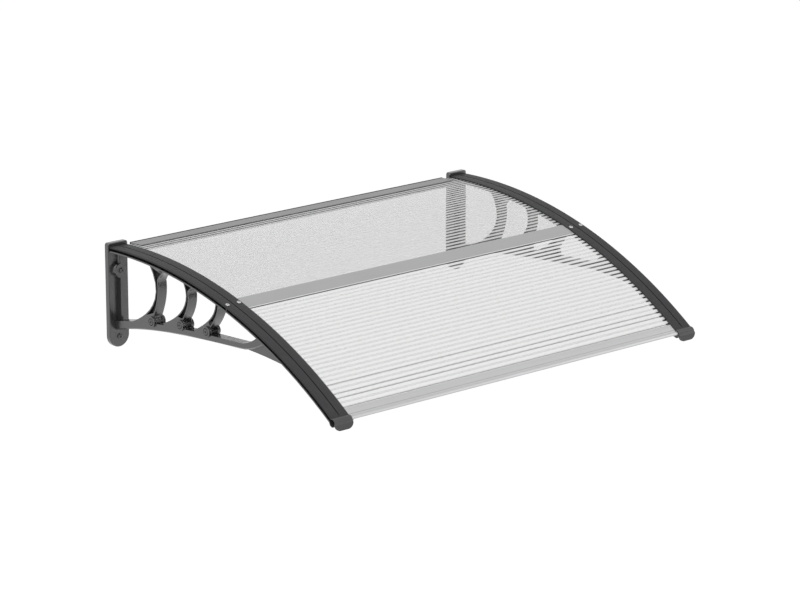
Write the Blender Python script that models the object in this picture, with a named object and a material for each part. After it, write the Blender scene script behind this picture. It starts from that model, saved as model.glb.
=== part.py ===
"""Arched door canopy: two moulded wall brackets carry two fluted clear sheets.

X runs along the wall, +Y points into the wall, the canopy reaches out towards
-Y and +Z is up. The wall face is the plane Y = 0, and Z = 0 is the middle of
the arm's depth where it meets the wall. Lengths are in metres.
"""
import math

import bpy
import bmesh
from mathutils import Vector

MM = 0.001

# Overall sizes
WIDTH = 1000.0 * MM             # across the outer edges of both arms
ARC_RADIUS = 1148.6 * MM        # top of the cover strips
CROWN_OUT = 64.9 * MM           # the highest point of the arc lies this far from the wall
ARM_LENGTH = 700.7 * MM         # from the crown to the end of the arm, along the arc

# Arm: an H section, whose upper side is the separate cover strip
ARM_WIDTH = 45.5 * MM
COVER_THICK = 2.8 * MM
SLOT_HEIGHT = 5.4 * MM
FLANGE_THICK = 3.0 * MM
WEB_WIDTH = 12.0 * MM
COVER_EDGE_R = 1.3 * MM
GROOVE_WIDTH = 1.5 * MM
GROOVE_DEPTH = 1.0 * MM
GROOVE_END = 7.0 * MM           # the groove stops this far from each end of the strip

# Wall plate of the bracket
PLATE_WIDTH = 51.2 * MM
PLATE_THICK = 11.2 * MM
PLATE_TOP = 13.7 * MM
PLATE_BOTTOM = -213.2 * MM
PLATE_TOP_R = 5.0 * MM          # rounding of the plate's upper corners
PLATE_EDGE = 1.6 * MM           # bevel round the plate's front face
THIN_WEB = 5.0 * MM             # rib and gussets
RIB_PROUD = 10.4 * MM
BOSS_D = 31.0 * MM
BOSS_Z = -45.9 * MM
LOW_SCREW_Z = -190.2 * MM

# Strut and crescents
STRUT_WIDTH = 22.8 * MM
STRUT_CHAMFER = 2.6 * MM
SIDE_STEP = 0.1 * MM            # a rib's side stands this far inside the side it grows from
CHANNEL_WALL_BACK = 2.8 * MM
CHANNEL_WALL_FRONT = 2.6 * MM
RING_D = 23.0 * MM
RING_PROUD = 3.5 * MM
RING_RECESS_D = 16.0 * MM
RING_RECESS_DEPTH = 2.4 * MM

# Sheets
SHEET_THICK = 4.5 * MM
SHEET_SKIN = 0.7 * MM
SHEET_RIB = 0.6 * MM
FLUTE_PITCH = 11.9 * MM
SHEET_END_GAP = 1.55 * MM       # from the sheets' ends to the arms' webs

# Bars
BAR_WALL = 1.2 * MM
MIDDLE_AT = 332.6 * MM          # centre line of the middle bar, along the arc
MIDDLE_CORE = 11.0 * MM
MIDDLE_REAR_FLANGE = 18.6 * MM
MIDDLE_FRONT_FLANGE = 18.4 * MM
MIDDLE_BEVEL = 10.0 * MM
FRONT_FLANGE = 15.0 * MM        # depth of the channel round the front sheet's edge
FRONT_WALL = 2.7 * MM           # the channel's end wall lies this far inside the arm's end
FRONT_GROOVE = 1.2 * MM         # the groove lies this far inside the arm's end
FRONT_GROOVE_WIDTH = 1.0 * MM
FRONT_GROOVE_DEPTH = 0.8 * MM
NOSE_AT = 7.3 * MM              # nose centre beyond the end of the arm, along the arc
NOSE_R = 6.0 * MM
NOSE_BORE_R = 3.6 * MM
REAR_BAR_BACK = 4.0 * MM        # the rear bar's back lies this far from the wall
REAR_BAR_TOP = 34.0 * MM
REAR_BAR_UNDER = 54.0 * MM
REAR_BAR_END_GAP = 16.5 * MM    # from the bar's end to the arm
SEAL_HEIGHT = 9.0 * MM

# End cap
CAP_TOP_LENGTH = 14.5 * MM
CAP_BODY_R = 8.6 * MM
CAP_RECESS_R = 7.1 * MM
CAP_RECESS_DEPTH = 14.0 * MM
CAP_PLATE_THICK = 4.0 * MM
CAP_PLATE_DROP = 15.4 * MM      # the front plate's foot lies this far below the nose centre
CAP_CORNER_R = 12.5 * MM
CAP_TOP_CORNER_R = 3.0 * MM
SPIGOT_LENGTH = 8.0 * MM

# Screws
WALL_SHANK_D = 4.8 * MM
WALL_HEAD_D = 11.8 * MM
WALL_HEAD_H = 3.2 * MM
WALL_SCREW_REACH = 23.6 * MM    # the tips lie this far behind the wall face
STRUT_SHANK_D = 4.4 * MM
STRUT_HEAD_D = 14.0 * MM
STRUT_HEAD_H = 3.4 * MM
COVER_SHANK_D = 4.0 * MM
COVER_HEAD_D = 9.0 * MM
COVER_HEAD_H = 1.8 * MM
COVER_SCREW_SIDE = 14.5 * MM    # from the arm's centre line
SOCKET_SHARE = 0.3              # socket radius as a share of the head's radius

# Fits
GAP = 0.3 * MM
JOINT_GAP = 0.4 * MM
SHEET_SIDE_GAP = 0.4 * MM

ARM_STEPS = 26
CURVE_STEPS = 12
STRUT_STEPS = 16
FLARE_STEPS = 4
TURN_STEPS = 5
END_STEPS = 7
ROUND_SIDES = 24
SCREW_SIDES = 14

ARM_X = WIDTH / 2 - ARM_WIDTH / 2
ARM_DEPTH = COVER_THICK + SLOT_HEIGHT + FLANGE_THICK
SLOT_MIDDLE = COVER_THICK + SLOT_HEIGHT / 2
CROWN_RISE = math.sqrt((ARC_RADIUS - ARM_DEPTH / 2) ** 2 - CROWN_OUT ** 2)


def on_arc(along, depth):
    """Point (y, z) at a distance along the top arc and a depth below it."""
    angle = along / ARC_RADIUS
    radius = ARC_RADIUS - depth
    return (-CROWN_OUT - radius * math.sin(angle), radius * math.cos(angle) - CROWN_RISE)


def along_at(y):
    """Distance along the top arc of the point of the arc at this y."""
    return ARC_RADIUS * math.asin((-y - CROWN_OUT) / ARC_RADIUS)


def under_arm(y, inside):
    """Point (y, z) on the arm's underside, or this far up inside it."""
    radius = ARC_RADIUS - ARM_DEPTH + inside
    return (y, math.sqrt(radius ** 2 - (y + CROWN_OUT) ** 2) - CROWN_RISE)


def bezier(points, steps=CURVE_STEPS):
    """Points on a cubic curve given by its four control points."""
    a, b, c, d = [Vector((p[0], p[1])) for p in points]
    run = []
    for i in range(steps + 1):
        t = i / steps
        u = 1 - t
        run.append(a * u ** 3 + b * (3 * u * u * t) + c * (3 * u * t * t) + d * t ** 3)
    return run


def shifted(run, distance):
    """A run of points moved sideways: to the left of its direction when positive."""
    moved = []
    for i, point in enumerate(run):
        before = run[max(i - 1, 0)]
        after = run[min(i + 1, len(run) - 1)]
        along = (after - before).normalized()
        moved.append(point + Vector((-along.y, along.x)) * distance)
    return moved


def circle_run(centre, radius, start, end, steps):
    """Points on a circle between two angles in degrees, counted from the first axis."""
    run = []
    for i in range(steps + 1):
        angle = math.radians(start + (end - start) * i / steps)
        run.append((centre[0] + radius * math.cos(angle), centre[1] + radius * math.sin(angle)))
    return run


def mm_points(pairs):
    """Points given in millimetres."""
    return [(a * MM, b * MM) for a, b in pairs]


def as_object(name, work):
    """Turn every face outward and make an object of the mesh."""
    bmesh.ops.recalc_face_normals(work, faces=work.faces)
    if work.calc_volume(signed=True) < 0:
        bmesh.ops.reverse_faces(work, faces=work.faces)
    mesh = bpy.data.meshes.new(name)
    work.to_mesh(mesh)
    work.free()
    item = bpy.data.objects.new(name, mesh)
    bpy.context.scene.collection.objects.link(item)
    return item


def solid(name, rings):
    """Closed mesh through rings of equal length, with flat ends."""
    work = bmesh.new()
    rows = [[work.verts.new(p) for p in ring] for ring in rings]
    for low, high in zip(rows, rows[1:]):
        for i in range(len(low)):
            j = (i + 1) % len(low)
            work.faces.new((low[i], low[j], high[j], high[i]))
    work.faces.new(rows[0])
    work.faces.new(rows[-1])
    return as_object(name, work)


def along_x(name, outline, start, end):
    """Extrude a (y, z) outline along X."""
    return solid(name, [[(x, p[0], p[1]) for p in outline] for x in (start, end)])


def along_y(name, outline, start, end):
    """Extrude an (x, z) outline along Y."""
    return solid(name, [[(p[0], y, p[1]) for p in outline] for y in (start, end)])


def rod(name, start, end, radius, sides=ROUND_SIDES):
    """Straight round bar between two points."""
    a = Vector(start)
    b = Vector(end)
    turn = Vector((0, 0, 1)).rotation_difference(b - a)
    rings = []
    for centre in (a, b):
        ring = []
        for i in range(sides):
            angle = 2 * math.pi * i / sides
            offset = Vector((radius * math.cos(angle), radius * math.sin(angle), 0))
            ring.append(centre + turn @ offset)
        rings.append(ring)
    return solid(name, rings)


def apply_boolean(base, tool, operation, solver):
    """Join a tool to the base, or cut it away, and remove the tool."""
    modifier = base.modifiers.new("Boolean", "BOOLEAN")
    modifier.operation = operation
    modifier.solver = solver
    modifier.object = tool
    shape = base.evaluated_get(bpy.context.evaluated_depsgraph_get())
    mesh = bpy.data.meshes.new_from_object(shape)
    base.modifiers.clear()
    base.data = mesh
    bpy.data.objects.remove(tool)


def join(base, tool, solver="EXACT"):
    """Unite a solid with the base."""
    apply_boolean(base, tool, "UNION", solver)


def cut(base, tool, solver="EXACT"):
    """Cut a solid out of the base."""
    apply_boolean(base, tool, "DIFFERENCE", solver)


def arc_strip(name, half_width, top, bottom, start, end, steps=ARM_STEPS):
    """Curved strip of rectangular section that follows the arc."""
    rings = []
    for i in range(steps + 1):
        along = start + (end - start) * i / steps
        high = on_arc(along, top)
        low = on_arc(along, bottom)
        rings.append([(-half_width, *high), (half_width, *high), (half_width, *low), (-half_width, *low)])
    return solid(name, rings)


def turned(name, profile, sides=SCREW_SIDES):
    """Solid turned about Z from (radius, height) points, top to bottom; both ends lie on the axis."""
    work = bmesh.new()
    rows = []
    for radius, height in profile[1:-1]:
        row = []
        for i in range(sides):
            angle = 2 * math.pi * i / sides
            row.append(work.verts.new((radius * math.cos(angle), radius * math.sin(angle), height)))
        rows.append(row)
    top = work.verts.new((0, 0, profile[0][1]))
    bottom = work.verts.new((0, 0, profile[-1][1]))
    for i in range(sides):
        j = (i + 1) % sides
        work.faces.new((top, rows[0][i], rows[0][j]))
        work.faces.new((bottom, rows[-1][j], rows[-1][i]))
        for high, low in zip(rows, rows[1:]):
            work.faces.new((high[i], low[i], low[j], high[j]))
    return as_object(name, work)


def screw(name, shank_d, head_d, head_h, length):
    """Screw along Z: its head stands on Z = 0, its shank reaches down, a socket is in the head."""
    head = head_d / 2
    shank = shank_d / 2
    socket = head * SOCKET_SHARE
    profile = [
        (0, head_h * 0.35),
        (socket * 0.9, head_h * 0.35),
        (socket, head_h),
        (head * 0.62, head_h * 0.94),
        (head * 0.9, head_h * 0.6),
        (head, head_h * 0.2),
        (head, 0),
        (shank, 0),
        (shank, -length + shank),
        (shank * 0.35, -length),
        (0, -length),
    ]
    return turned(name, profile)


def bracket_crescents():
    """The three crescents: back curve (towards the wall), front run, foot and channel ends.

    The front run flares out under the arm, follows the main front curve and turns
    forward into the strut. The foot lies inside the strut. A channel ends at the given
    point numbers of the front run and the back curve, and has a corner under the arm.
    """
    back = [
        mm_points([(-128, -4), (-205.2, -92), (-78.5, -140.7), (-62, -146.5)]),
        mm_points([(-238, -16), (-281, -64), (-225, -106), (-176, -125)]),
        mm_points([(-350, -38), (-351, -65), (-339, -86), (-280, -117)]),
    ]
    flares = [
        mm_points([(-190, -9.2), (-178, -20), (-165, -28), (-160, -38)]),
        mm_points([(-288, -24.3), (-277, -33), (-264, -34), (-260.5, -42)]),
        mm_points([(-378, -46.5), (-371, -52), (-361, -49), (-358, -54)]),
    ]
    mains = [
        mm_points([(-160, -38), (-165, -64), (-157, -92), (-144.7, -117)]),
        mm_points([(-260.5, -42), (-265, -62), (-257, -86), (-238.5, -109)]),
        mm_points([(-358, -54), (-358, -70), (-341, -93), (-325, -109)]),
    ]
    turns = [
        mm_points([(-144.7, -117), (-143.5, -126), (-150, -131.5), (-164, -132.5)]),
        mm_points([(-238.5, -109), (-236, -116), (-243, -121.5), (-256, -124)]),
        mm_points([(-325, -109), (-323, -114), (-328, -118), (-340, -119)]),
    ]
    feet = [
        mm_points([(-164, -138), (-110, -141), (-74, -150)]),
        mm_points([(-256, -129), (-212, -129), (-180, -133)]),
        mm_points([(-340, -124), (-303, -124), (-284, -125)]),
    ]
    corners = mm_points([(-139.5, -13.5), (-247.5, -22.8), (-353.2, -44.5)])
    ends = [(FLARE_STEPS + 11, 7), (FLARE_STEPS + 11, 8), (FLARE_STEPS + 10, 8)]
    crescents = []
    for i in range(3):
        front = bezier(flares[i], FLARE_STEPS) + bezier(mains[i])[1:] + bezier(turns[i], TURN_STEPS)[1:]
        crescents.append((bezier(back[i]), front, feet[i], corners[i], ends[i]))
    return crescents


def strut():
    """Long strut under the arch, with a chamfer along its lower edges."""
    low = bezier(mm_points([(-11, -175), (-130, -140), (-317, -131), (-430, -125)]), STRUT_STEPS)
    low_end = bezier(mm_points([(-430, -125), (-456, -123.5), (-486, -111), (-512, -94.5)]), END_STEPS)
    high = bezier(mm_points([(-11, -156), (-110, -130), (-250, -121), (-430, -112.5)]), STRUT_STEPS)
    high_end = bezier(mm_points([(-430, -112.5), (-452, -109), (-472, -99), (-489, -84)]), END_STEPS)
    under = low + low_end[1:]
    over = high + high_end[1:]
    start = [(-5 * MM, -154 * MM)]
    under = [Vector((-5 * MM, -177 * MM))] + under
    raised = shifted(under, -STRUT_CHAMFER)
    side = STRUT_WIDTH / 2
    rings = []
    inner = side - STRUT_CHAMFER
    for x, lower in ((-side, raised), (-inner, under), (inner, under), (side, raised)):
        outline = [tuple(p) for p in lower] + [tuple(p) for p in reversed(over)] + start
        rings.append([(x, p[0], p[1]) for p in outline])
    return solid("strut", rings)


def ring_places():
    """Centres (y, z) of the ring bosses on the strut."""
    return mm_points([(-139.2, -129.7), (-234.9, -116.6), (-321.5, -111.6)])


def wall_plate():
    """Wall plate with a round foot, rounded upper corners and a bevel round its front face."""
    half = PLATE_WIDTH / 2
    rings = []
    for y, inset in ((-PLATE_THICK, PLATE_EDGE), (PLATE_EDGE - PLATE_THICK, 0), (0, 0)):
        corner = PLATE_TOP_R - inset
        level = PLATE_TOP - PLATE_TOP_R
        outline = circle_run((0, PLATE_BOTTOM + half), half - inset, 180, 360, ROUND_SIDES)
        outline += circle_run((half - PLATE_TOP_R, level), corner, 0, 90, 4)
        outline += circle_run((PLATE_TOP_R - half, level), corner, 90, 180, 4)
        rings.append([(x, y, z) for x, z in outline])
    return solid("bracket", rings)


def make_bracket():
    """One side bracket about X = 0: plate, rib, boss, arm, strut, crescents and gussets."""
    fused = "MANIFOLD"
    half_strut = STRUT_WIDTH / 2
    half_thin = THIN_WEB / 2
    body = wall_plate()
    start = along_at(-PLATE_THICK / 2)
    slot_floor = COVER_THICK + SLOT_HEIGHT
    join(body, arc_strip("flange", ARM_WIDTH / 2, slot_floor, ARM_DEPTH, start, ARM_LENGTH), fused)
    join(body, arc_strip("web", WEB_WIDTH / 2, COVER_THICK + GAP, slot_floor + FLANGE_THICK / 2,
                         start, ARM_LENGTH - GAP), fused)
    rib_front = -PLATE_THICK - RIB_PROUD
    half_deep = -PLATE_THICK / 2
    rib = [under_arm(half_deep, FLANGE_THICK / 2), under_arm(rib_front, FLANGE_THICK / 2)]
    rib += [(rib_front, -165 * MM), (half_deep, -165 * MM)]
    join(body, along_x("rib", rib, -half_thin, half_thin), fused)
    join(body, rod("boss", (0, half_deep, BOSS_Z), (0, rib_front - GAP, BOSS_Z), BOSS_D / 2), fused)
    join(body, strut(), fused)
    for back_run, front_run, foot, corner, (front_last, back_last) in bracket_crescents():
        outline = [tuple(p) for p in front_run] + foot + [tuple(p) for p in reversed(back_run)]
        half_crescent = half_strut - SIDE_STEP
        join(body, along_x("crescent", outline, -half_crescent, half_crescent), fused)
        inner_back = shifted(back_run, -CHANNEL_WALL_BACK)
        inner_front = shifted(front_run, CHANNEL_WALL_FRONT)
        outline = [corner] + [tuple(p) for p in inner_front[FLARE_STEPS // 2:front_last + 1]]
        outline += [tuple(p) for p in reversed(inner_back[1:back_last + 1])]
        for side in (-1, 1):
            cut(body, along_x("channel", outline, side * half_thin, side * (half_strut + GAP)), fused)
    half_gusset = half_thin - SIDE_STEP
    run = bezier(mm_points([(-425, -124.5), (-480, -125), (-550, -131), (-603, -140)]), 12)
    outline = [tuple(p) for p in run]
    outline += [under_arm(run[-1][0], FLANGE_THICK / 2), under_arm(-520 * MM, FLANGE_THICK / 2)]
    outline += mm_points([(-480, -100), (-430, -118)])
    join(body, along_x("front gusset", outline, -half_gusset, half_gusset), fused)
    for y, z in ring_places():
        reach = half_strut + RING_PROUD
        inner = half_strut - RING_PROUD
        for side in (-1, 1):
            join(body, rod("ring", (side * inner, y, z), (side * reach, y, z), RING_D / 2), fused)
        for side in (-1, 1):
            floor = reach - RING_RECESS_DEPTH
            open_end = (side * (reach + GAP), y, z)
            cut(body, rod("recess", (side * floor, y, z), open_end, RING_RECESS_D / 2), fused)
        hole = STRUT_SHANK_D / 2 + GAP
        cut(body, rod("hole", (-reach, y, z), (reach, y, z), hole, SCREW_SIDES), fused)
    hole = WALL_SHANK_D / 2 + GAP
    for z in (BOSS_Z, LOW_SCREW_Z):
        cut(body, rod("hole", (0, rib_front - BOSS_D, z), (0, BOSS_D, z), hole, SCREW_SIDES), fused)
    for x in (-COVER_SCREW_SIDE, COVER_SCREW_SIDE):
        cut(body, cover_hole(x), fused)
    return body


def cover_hole(x):
    """Cutter for a cover screw: a rod along the arc's normal at the middle bar."""
    low = on_arc(MIDDLE_AT, ARM_DEPTH + COVER_HEAD_D)
    high = on_arc(MIDDLE_AT, -COVER_HEAD_D)
    return rod("hole", (x, *low), (x, *high), COVER_SHANK_D / 2 + GAP, SCREW_SIDES)


def make_cover():
    """Cover strip about X = 0, from the wall plate to the end of the arm."""
    half = ARM_WIDTH / 2
    turn = circle_run((half - COVER_EDGE_R, COVER_EDGE_R), COVER_EDGE_R, 0, -90, 4)
    section = [(-half, COVER_THICK), (half, COVER_THICK)] + turn
    section += [(-x, depth) for x, depth in reversed(turn)]
    start = along_at(-PLATE_THICK - JOINT_GAP)
    rings = []
    for i in range(ARM_STEPS + 1):
        along = start + (ARM_LENGTH - start) * i / ARM_STEPS
        rings.append([(x, *on_arc(along, depth)) for x, depth in section])
    body = solid("cover", rings)
    groove = arc_strip("groove", GROOVE_WIDTH / 2, -GROOVE_DEPTH, GROOVE_DEPTH,
                       start + GROOVE_END, ARM_LENGTH - GROOVE_END)
    cut(body, groove)
    for x in (-COVER_SCREW_SIDE, COVER_SCREW_SIDE):
        cut(body, cover_hole(x))
    return body


def make_cap(side):
    """End cap about X = 0: side is the X direction of its outer, open face."""
    fused = "MANIFOLD"
    half = ARM_WIDTH / 2
    axis = on_arc(ARM_LENGTH + NOSE_AT, SLOT_MIDDLE + GAP)
    joint = ARM_LENGTH + JOINT_GAP
    top = on_arc(joint, 0)
    under = on_arc(joint, ARM_DEPTH)
    angle = joint / ARC_RADIUS
    forward = Vector((-math.cos(angle), -math.sin(angle)))
    brow = Vector(top) + forward * CAP_TOP_LENGTH
    front = brow.y
    face = brow.x - CAP_TOP_CORNER_R / 2
    outline = [top, tuple(brow), (face, front - CAP_TOP_CORNER_R), (face, axis[1] - CAP_BODY_R / 2)]
    outline += [(axis[0], axis[1] - CAP_BODY_R / 2), under]
    body = along_x("cap", outline, -half, half)
    join(body, rod("cap body", (-half, *axis), (half, *axis), CAP_BODY_R), fused)
    behind = joint - 2 * CAP_BODY_R
    arm = [on_arc(behind, -CAP_BODY_R), on_arc(joint, -CAP_BODY_R)]
    arm += [on_arc(joint, ARM_DEPTH + GAP), on_arc(behind, ARM_DEPTH + GAP)]
    cut(body, along_x("arm end", arm, -half - GAP, half + GAP), fused)
    foot = axis[1] - CAP_PLATE_DROP
    outline = circle_run((-half + CAP_CORNER_R, foot + CAP_CORNER_R), CAP_CORNER_R, 180, 270, 8)
    outline += circle_run((half - CAP_CORNER_R, foot + CAP_CORNER_R), CAP_CORNER_R, 270, 360, 8)
    outline += [(half, front - CAP_TOP_CORNER_R), (-half, front - CAP_TOP_CORNER_R)]
    join(body, along_y("cap plate", outline, face - GAP / 2, face + CAP_PLATE_THICK), fused)
    floor = side * (half - CAP_RECESS_DEPTH)
    cut(body, rod("recess", (side * (half + GAP), *axis), (floor, *axis), CAP_RECESS_R), fused)
    inner = -side * (half - SPIGOT_LENGTH / 2)
    tip = -side * (half + SPIGOT_LENGTH)
    join(body, rod("spigot", (inner, *axis), (tip, *axis), NOSE_BORE_R - GAP, SCREW_SIDES), fused)
    return body


def make_sheet(name, start, end):
    """Fluted sheet between two places along the arc: two skins joined by ribs, flutes open at both ends."""
    half = ARM_X - WEB_WIDTH / 2 - SHEET_END_GAP
    top = SLOT_MIDDLE - SHEET_THICK / 2
    levels = [top, top + SHEET_SKIN, top + SHEET_THICK - SHEET_SKIN, top + SHEET_THICK]
    count = round((end - start) / FLUTE_PITCH)
    pitch = (end - start - SHEET_RIB) / count
    columns = []
    for i in range(count + 1):
        columns += [start + pitch * i, start + pitch * i + SHEET_RIB]
    work = bmesh.new()
    sides = []
    for x in (-half, half):
        sides.append([[work.verts.new((x, *on_arc(along, level))) for level in levels] for along in columns])
    left, right = sides
    last = len(columns) - 1
    for i in range(last):
        is_rib = i % 2 == 0
        bands = (0, 1, 2) if is_rib else (0, 2)
        for grid in sides:
            for k in bands:
                work.faces.new((grid[i][k], grid[i + 1][k], grid[i + 1][k + 1], grid[i][k + 1]))
        edges = (0, 3) if is_rib else (0, 1, 2, 3)
        for k in edges:
            work.faces.new((left[i][k], left[i + 1][k], right[i + 1][k], right[i][k]))
    for i in range(1, last):
        work.faces.new((left[i][1], left[i][2], right[i][2], right[i][1]))
    for i in (0, last):
        for k in range(3):
            work.faces.new((left[i][k], left[i][k + 1], right[i][k + 1], right[i][k]))
    return as_object(name, work)


def bar_outline(points):
    """Outline (y, z) from (along, depth) points."""
    return [on_arc(along, depth) for along, depth in points]


def channel_levels():
    """Depths of a bar's outer top, inner top, inner bottom and outer bottom round a sheet."""
    inner_top = SLOT_MIDDLE - SHEET_THICK / 2 - GAP
    inner_bottom = SLOT_MIDDLE + SHEET_THICK / 2 + GAP
    return inner_top - BAR_WALL, inner_top, inner_bottom, inner_bottom + BAR_WALL


def make_middle_bar():
    """Joining bar: an H section round the sheets' meeting edges, its core reaching into the slots."""
    outer_top, inner_top, inner_bottom, outer_bottom = channel_levels()
    rear = MIDDLE_AT - MIDDLE_REAR_FLANGE
    front = MIDDLE_AT + MIDDLE_FRONT_FLANGE
    core_rear = MIDDLE_AT - MIDDLE_CORE / 2
    core_front = MIDDLE_AT + MIDDLE_CORE / 2
    tip = BAR_WALL / 3
    bevel = front - MIDDLE_BEVEL
    outline = [(rear, outer_top), (MIDDLE_AT, outer_top), (bevel, outer_top), (front, inner_top - tip)]
    outline += [(front, inner_top), (core_front, inner_top), (core_front, inner_bottom)]
    outline += [(front, inner_bottom)]
    outline += [(front, inner_bottom + tip), (bevel, outer_bottom), (MIDDLE_AT, outer_bottom)]
    outline += [(rear, outer_bottom), (rear, inner_bottom), (core_rear, inner_bottom), (core_rear, inner_top)]
    outline += [(rear, inner_top)]
    half = ARM_X - ARM_WIDTH / 2 - JOINT_GAP
    body = along_x("middle_bar", bar_outline(outline), -half, half)
    tongue_top = COVER_THICK + GAP
    tongue_bottom = COVER_THICK + SLOT_HEIGHT - GAP
    tongue = [(core_rear + GAP, tongue_top), (core_front - GAP, tongue_top)]
    tongue += [(core_front - GAP, tongue_bottom), (core_rear + GAP, tongue_bottom)]
    reach = ARM_X - WEB_WIDTH / 2 - JOINT_GAP
    join(body, along_x("tongue", bar_outline(tongue), -reach, reach))
    screw_x = ARM_X - COVER_SCREW_SIDE
    cut(body, cover_hole(-screw_x))
    cut(body, cover_hole(screw_x))
    return body


def make_front_bar():
    """Front edge bar: a channel round the sheet's edge, a grooved band and a round hollow nose."""
    outer_top, inner_top, inner_bottom, outer_bottom = channel_levels()
    wall = ARM_LENGTH - FRONT_WALL
    lip = wall - FRONT_FLANGE
    groove = ARM_LENGTH - FRONT_GROOVE
    nose = ARM_LENGTH + NOSE_AT
    wide = FRONT_GROOVE_WIDTH / 2
    deep = FRONT_GROOVE_DEPTH
    outline = [(lip, inner_top), (lip, outer_top + wide), (lip + wide, outer_top)]
    outline += [(groove - wide, outer_top), (groove, outer_top + deep), (groove + wide, outer_top)]
    outline += [(nose, outer_top), (nose, outer_bottom), (lip + wide, outer_bottom)]
    outline += [(lip, outer_bottom - wide), (lip, inner_bottom), (wall, inner_bottom), (wall, inner_top)]
    half = ARM_X - ARM_WIDTH / 2 - JOINT_GAP
    body = along_x("front_bar", bar_outline(outline), -half, half)
    axis = on_arc(nose, SLOT_MIDDLE + GAP)
    join(body, rod("nose", (-half, *axis), (half, *axis), NOSE_R, ROUND_SIDES))
    cut(body, rod("bore", (-half - GAP, *axis), (half + GAP, *axis), NOSE_BORE_R, SCREW_SIDES))
    return body


def rear_bar_half():
    """Half the length of the rear bar and its seal."""
    return ARM_X - ARM_WIDTH / 2 - REAR_BAR_END_GAP


def make_rear_bar():
    """Edge bar at the wall: a channel open to the front, its underside longer."""
    outer_top, inner_top, inner_bottom, outer_bottom = channel_levels()
    back = along_at(-REAR_BAR_BACK)
    wall = back + 2 * BAR_WALL
    top_end = back + REAR_BAR_TOP
    low_end = back + REAR_BAR_UNDER
    outline = [on_arc(top_end, outer_top), on_arc(top_end, inner_top), on_arc(wall, inner_top)]
    outline += [on_arc(wall, inner_bottom), on_arc(top_end, inner_bottom), on_arc(low_end, inner_bottom)]
    outline += [on_arc(low_end, outer_bottom), on_arc(top_end, outer_bottom)]
    outline += [(-REAR_BAR_BACK, on_arc(back, outer_bottom)[1]), (-REAR_BAR_BACK, on_arc(back, outer_top)[1])]
    half = rear_bar_half()
    return along_x("rear_bar", outline, -half, half)


def make_seal():
    """Flat sealing strip between the rear bar's back and the wall, with rounded front edges."""
    front = -REAR_BAR_BACK + GAP
    edge = (REAR_BAR_BACK - GAP) / 3
    half_high = SEAL_HEIGHT / 2
    outline = [(0, half_high), (front + edge, half_high), (front, half_high - edge)]
    outline += [(front, edge - half_high), (front + edge, -half_high), (0, -half_high)]
    half = rear_bar_half()
    return along_x("wall_seal", outline, -half, half)


def material(name, colour, roughness, metallic, alpha=1.0, transmission=0.0):
    """Principled material."""
    made = bpy.data.materials.new(name)
    made.use_nodes = True
    shader = made.node_tree.nodes["Principled BSDF"]
    shader.inputs["Base Color"].default_value = (*colour, 1.0)
    shader.inputs["Roughness"].default_value = roughness
    shader.inputs["Metallic"].default_value = metallic
    shader.inputs["Alpha"].default_value = alpha
    shader.inputs["Transmission Weight"].default_value = transmission
    made.diffuse_color = (*colour, alpha)
    return made


def finish(item, name, look, smooth_angle=30):
    """Name a piece, give it its material and shade its round faces smooth."""
    item.name = name
    item.data.name = name
    item.data.materials.clear()
    item.data.materials.append(look)
    item.data.shade_smooth()
    item.data.set_sharp_from_angle(angle=math.radians(smooth_angle))


def copy_of(item, name):
    """A second piece of the same shape."""
    twin = bpy.data.objects.new(name, item.data)
    bpy.context.scene.collection.objects.link(twin)
    return twin


def place_screw(item, point, direction):
    """Stand a screw's head on a point, its head looking along a direction."""
    item.rotation_mode = "QUATERNION"
    item.rotation_quaternion = Vector((0, 0, 1)).rotation_difference(Vector(direction))
    item.location = point


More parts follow.
